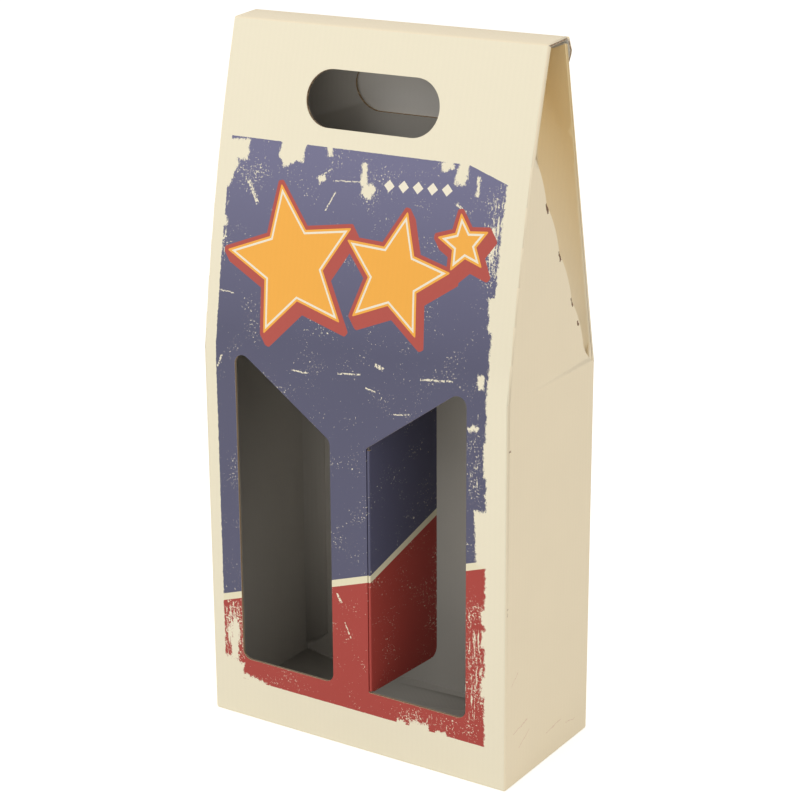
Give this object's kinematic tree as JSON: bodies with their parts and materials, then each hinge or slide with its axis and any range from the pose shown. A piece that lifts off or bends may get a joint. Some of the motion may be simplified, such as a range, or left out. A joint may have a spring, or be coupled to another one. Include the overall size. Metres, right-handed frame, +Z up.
{
  "type": "bottle shipping box",
  "caption": "Gable-top box of corrugated board for bottles, with two front windows, a folded-in divider, hand holes and a closing flap at the rear.",
  "frame": {"origin": "middle of the base that the carton stands on", "axes": "+Z up, +Y from the windows to the back panel, +X to the right as seen from the front"},
  "size_m": [0.18, 0.085, 0.3679],
  "materials": {
    "printed_board": "fine-flute corrugated board, matt printed outside, plain grey liner inside"
  },
  "bodies": {
    "box": {"carton": "printed_board"},
    "closing": {"closing_flap": "printed_board"},
    "divider": {"divider_flap": "printed_board"}
  },
  "joints": [
    {"name": "closing_flap_fold", "type": "hinge", "parent": "box", "child": "closing", "pos_m": [0, 0.009, 0.36725], "axis": [1, 0, 0], "range_deg": [0, 165]},
    {"name": "divider_fold", "type": "hinge", "parent": "box", "child": "divider", "pos_m": [0.01015, -0.04175, 0.1], "axis": [0, 0, 1], "range_deg": [-86, 20]}
  ]
}
